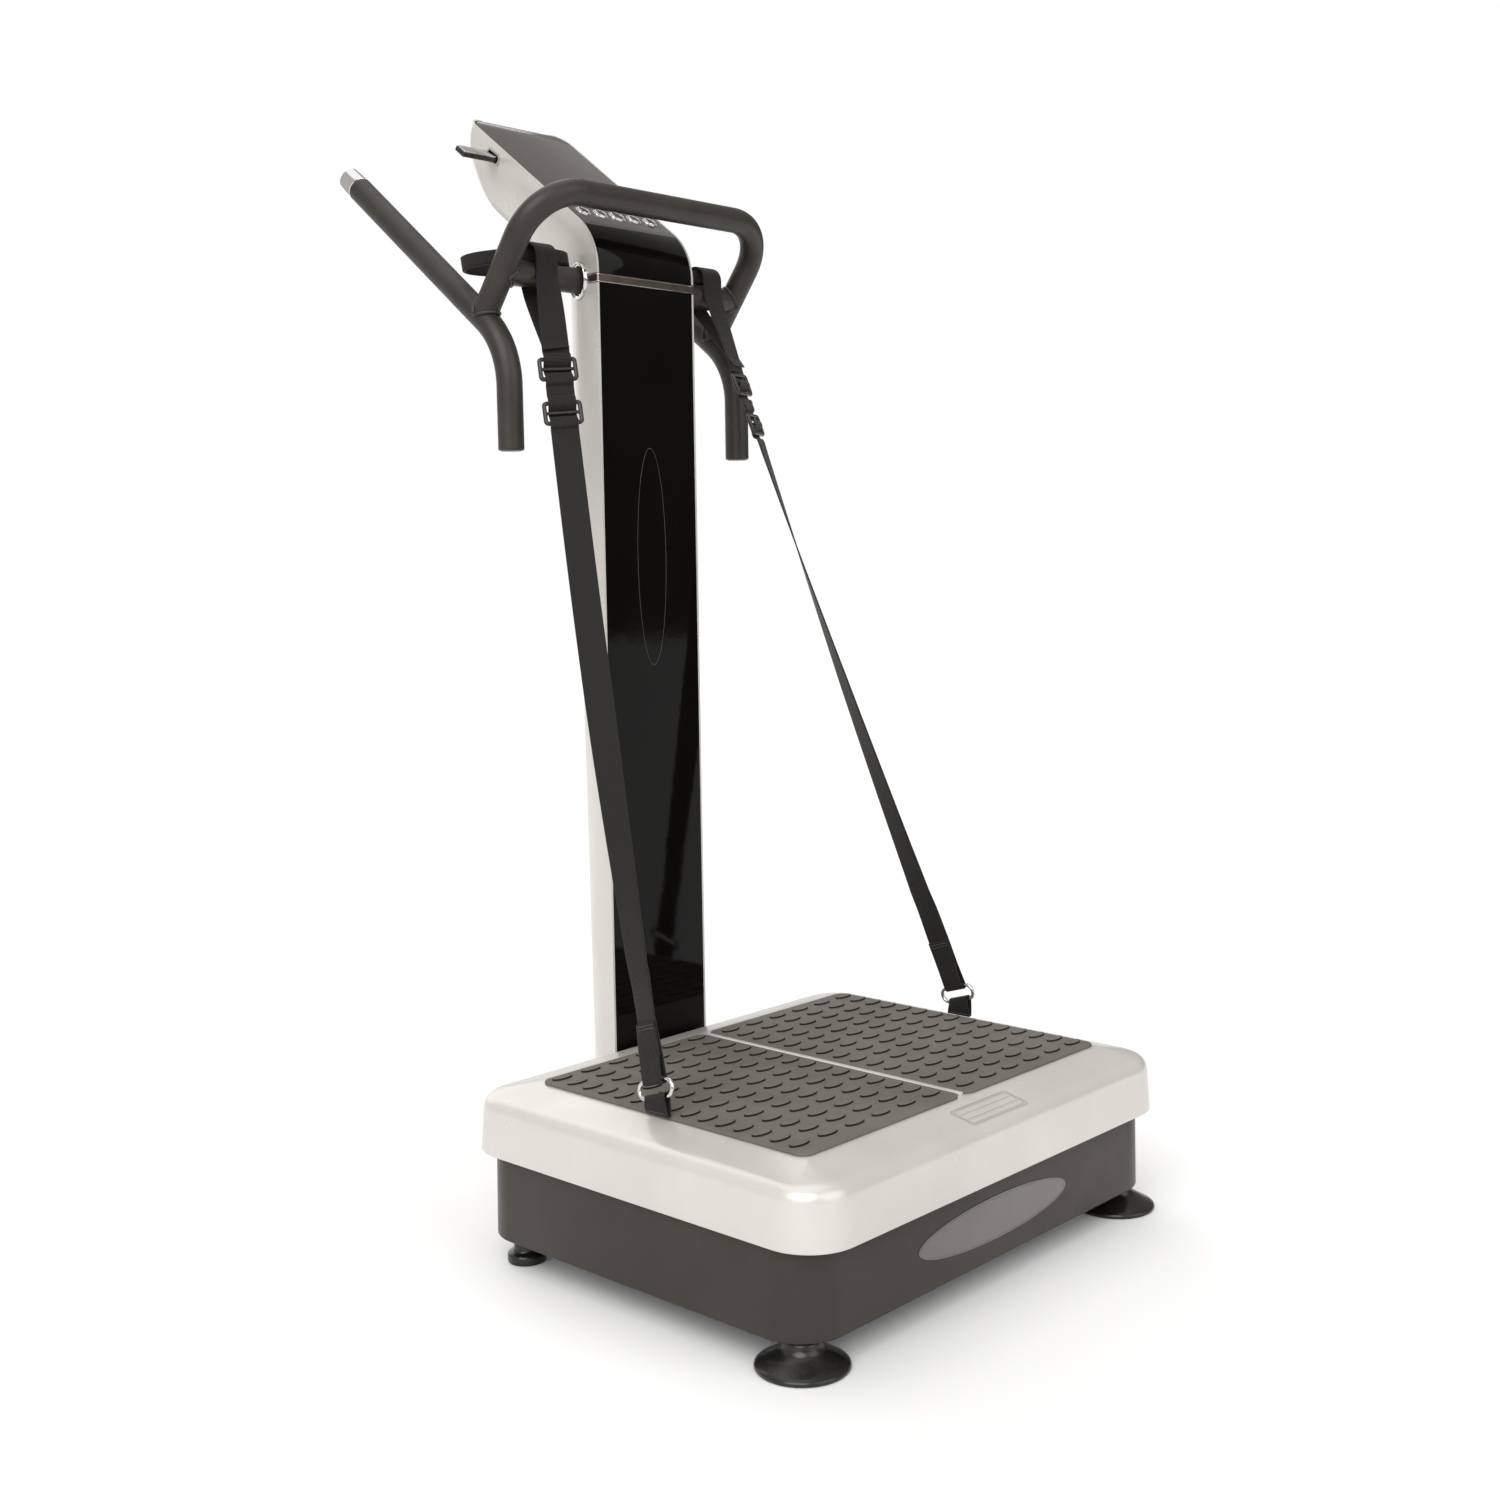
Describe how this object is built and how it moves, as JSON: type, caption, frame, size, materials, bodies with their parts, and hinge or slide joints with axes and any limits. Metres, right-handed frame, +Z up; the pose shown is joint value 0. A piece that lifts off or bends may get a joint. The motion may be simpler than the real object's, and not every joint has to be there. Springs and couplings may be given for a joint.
{
  "type": "vibration plate",
  "caption": "Whole-body vibration platform: rocking deck with tread mats on a fixed base, upright column with sloping console, tubular handlebar and tether straps.",
  "frame": {"origin": "on the floor, at the centre of the bounding box's footprint", "axes": "+Z up, +Y from the user side towards the column, +X to the user's right when facing the console"},
  "size_m": [0.622, 0.804, 1.2385],
  "materials": {
    "silver": "silver-white, satin gloss",
    "dark_shell": "warm dark grey, satin",
    "gloss_black": "high gloss black",
    "tread": "grey, matte",
    "black_rubber": "black, semi-gloss",
    "tube": "black textured paint",
    "chrome": "polished",
    "steel": "ground",
    "frame_paint": "black paint",
    "casting": "as cast",
    "webbing": "woven black",
    "black_plastic": "black, satin",
    "board": "green solder mask"
  },
  "bodies": {
    "base": {"base_shell": "dark_shell", "base_frame": "frame_paint", "pivot_block_front": "casting", "pivot_block_rear": "casting", "crank_bearing_front": "casting", "crank_bearing_rear": "casting", "motor_casing": "casting", "drive_belt": "black_rubber", "controller_box": "black_plastic", "power_inlet": "black_plastic", "switch_case": "black_plastic", "column_mast": "frame_paint", "column_shell": "silver", "column_panel": "gloss_black", "trim_strip": "chrome", "collar_left": "chrome", "collar_right": "chrome", "console_shell": "silver", "console_lower_panel": "gloss_black", "display_panel": "gloss_black", "console_board": "board", "usb_port": "black_plastic", "cross_tube": "tube", "grip_bar": "tube", "side_bar_left": "tube", "side_bar_right": "tube", "end_cap_left": "chrome", "end_cap_right": "chrome", "strap_left": "webbing", "strap_right": "webbing", "hand_loop_left": "webbing", "hand_loop_right": "webbing", "buckle_left_1": "black_plastic", "buckle_left_2": "black_plastic", "buckle_right_1": "black_plastic", "buckle_right_2": "black_plastic"},
    "platform": {"platform_cover": "silver", "mat_left": "tread", "mat_right": "tread", "platform_frame": "frame_paint", "pivot_shaft": "steel", "anchor_loop_left": "webbing", "anchor_loop_right": "webbing", "ring_left": "chrome", "ring_right": "chrome"},
    "crank": {"crank_shaft": "steel", "driven_pulley": "casting"},
    "rotor": {"motor_shaft": "steel"},
    "rod": {"connecting_rod": "casting"},
    "button_1_body": {"button_1": "chrome"},
    "button_2_body": {"button_2": "chrome"},
    "button_3_body": {"button_3": "chrome"},
    "button_4_body": {"button_4": "chrome"},
    "button_5_body": {"button_5": "chrome"},
    "rocker": {"rocker_switch": "black_plastic"},
    "stick": {"usb_stick": "black_plastic"},
    "foot_front_left_body": {"foot_front_left": "black_rubber"},
    "foot_front_right_body": {"foot_front_right": "black_rubber"},
    "foot_rear_left_body": {"foot_rear_left": "black_rubber"},
    "foot_rear_right_body": {"foot_rear_right": "black_rubber"}
  },
  "joints": [
    {"name": "platform_tilt", "type": "hinge", "parent": "base", "child": "platform", "pos_m": [0, -0.16, 0.14], "axis": [0, 1, 0], "range_deg": [-1.1, 1.1], "deforming": ["strap_left", "strap_right"]},
    {"name": "crank_spin", "type": "hinge", "parent": "base", "child": "crank", "pos_m": [0.13, -0.16, 0.08], "axis": [0, 1, 0], "continuous": true},
    {"name": "motor_spin", "type": "hinge", "parent": "base", "child": "rotor", "pos_m": [-0.13, -0.06, 0.08], "axis": [0, 1, 0], "continuous": true},
    {"name": "rod_swing", "type": "hinge", "parent": "platform", "child": "rod", "pos_m": [0.13, -0.17, 0.145], "axis": [0, 1, 0], "range_deg": [-2, 2]},
    {"name": "button_1_press", "type": "slide", "parent": "base", "child": "button_1_body", "axis": [0, 0.5941, -0.8044], "range_m": [0, 0.0012], "stiffness_N_per_m": 300, "springref_m": -0.001},
    {"name": "button_2_press", "type": "slide", "parent": "base", "child": "button_2_body", "axis": [0, 0.5941, -0.8044], "range_m": [0, 0.0012], "stiffness_N_per_m": 300, "springref_m": -0.001},
    {"name": "button_3_press", "type": "slide", "parent": "base", "child": "button_3_body", "axis": [0, 0.5941, -0.8044], "range_m": [0, 0.0012], "stiffness_N_per_m": 300, "springref_m": -0.001},
    {"name": "button_4_press", "type": "slide", "parent": "base", "child": "button_4_body", "axis": [0, 0.5941, -0.8044], "range_m": [0, 0.0012], "stiffness_N_per_m": 300, "springref_m": -0.001},
    {"name": "button_5_press", "type": "slide", "parent": "base", "child": "button_5_body", "axis": [0, 0.5941, -0.8044], "range_m": [0, 0.0012], "stiffness_N_per_m": 300, "springref_m": -0.001},
    {"name": "switch_rock", "type": "hinge", "parent": "base", "child": "rocker", "pos_m": [0.165, 0.068, 0.085], "axis": [1, 0, 0], "range_deg": [0, 14]},
    {"name": "stick_pull", "type": "slide", "parent": "base", "child": "stick", "axis": [-1, 0, 0], "range_m": [0, 0.014]},
    {"name": "foot_front_left_height", "type": "slide", "parent": "base", "child": "foot_front_left_body", "axis": [0, 0, -1], "range_m": [0, 0.008]},
    {"name": "foot_front_right_height", "type": "slide", "parent": "base", "child": "foot_front_right_body", "axis": [0, 0, -1], "range_m": [0, 0.008]},
    {"name": "foot_rear_left_height", "type": "slide", "parent": "base", "child": "foot_rear_left_body", "axis": [0, 0, -1], "range_m": [0, 0.008]},
    {"name": "foot_rear_right_height", "type": "slide", "parent": "base", "child": "foot_rear_right_body", "axis": [0, 0, -1], "range_m": [0, 0.008]}
  ],
  "couplings": [
    {"joint": "motor_spin", "follows": "crank_spin", "ratio": 2.5333}
  ]
}
